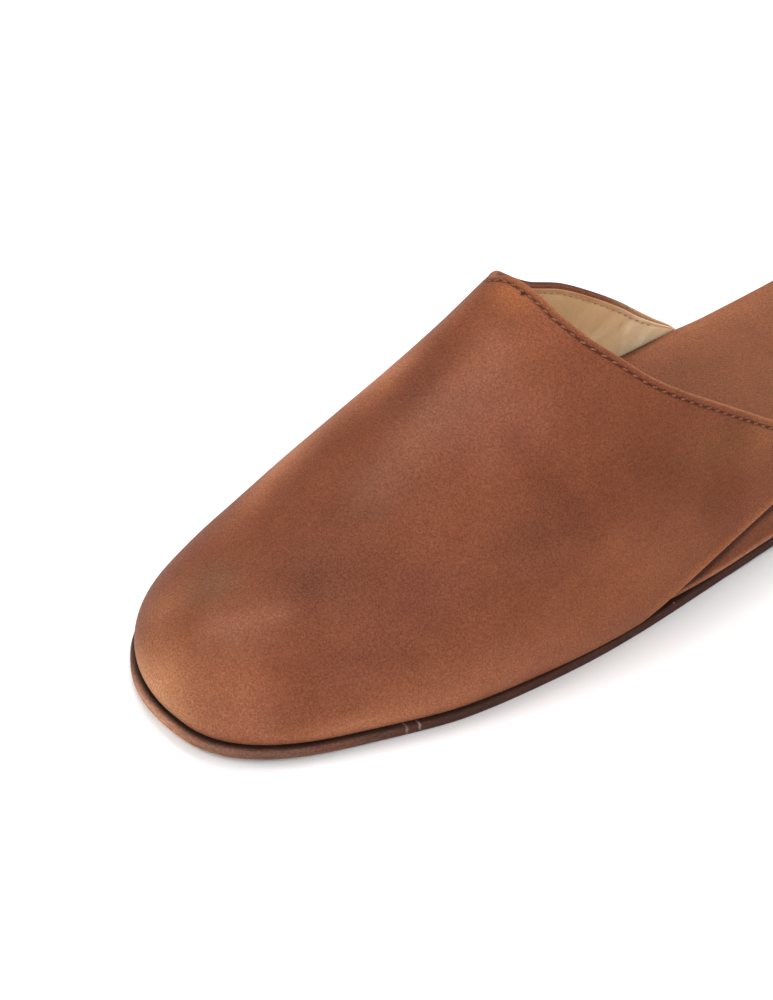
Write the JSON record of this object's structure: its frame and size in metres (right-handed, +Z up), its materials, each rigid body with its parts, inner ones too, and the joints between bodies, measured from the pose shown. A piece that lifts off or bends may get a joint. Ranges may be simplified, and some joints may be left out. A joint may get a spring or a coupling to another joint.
{
  "type": "slipper",
  "caption": "Left backless leather slipper: an arched vamp with low side wings over a padded, leather-covered footbed on a thin leather sole.",
  "frame": {"origin": "middle of the shoe's bounding box in plan, on the floor plane under the sole", "axes": "+Y from the toe towards the heel, +X towards the outer side of the left foot, +Z up"},
  "size_m": [0.0966, 0.29, 0.0836],
  "materials": {
    "sole_leather": "worn brown sole leather with a raw edge",
    "footbed_leather": "smooth oiled nubuck",
    "upper_leather": "oiled nubuck, matt with a soft sheen"
  },
  "bodies": {
    "root": {"outsole": "sole_leather", "footbed": "footbed_leather", "vamp": "upper_leather"}
  },
  "joints": []
}
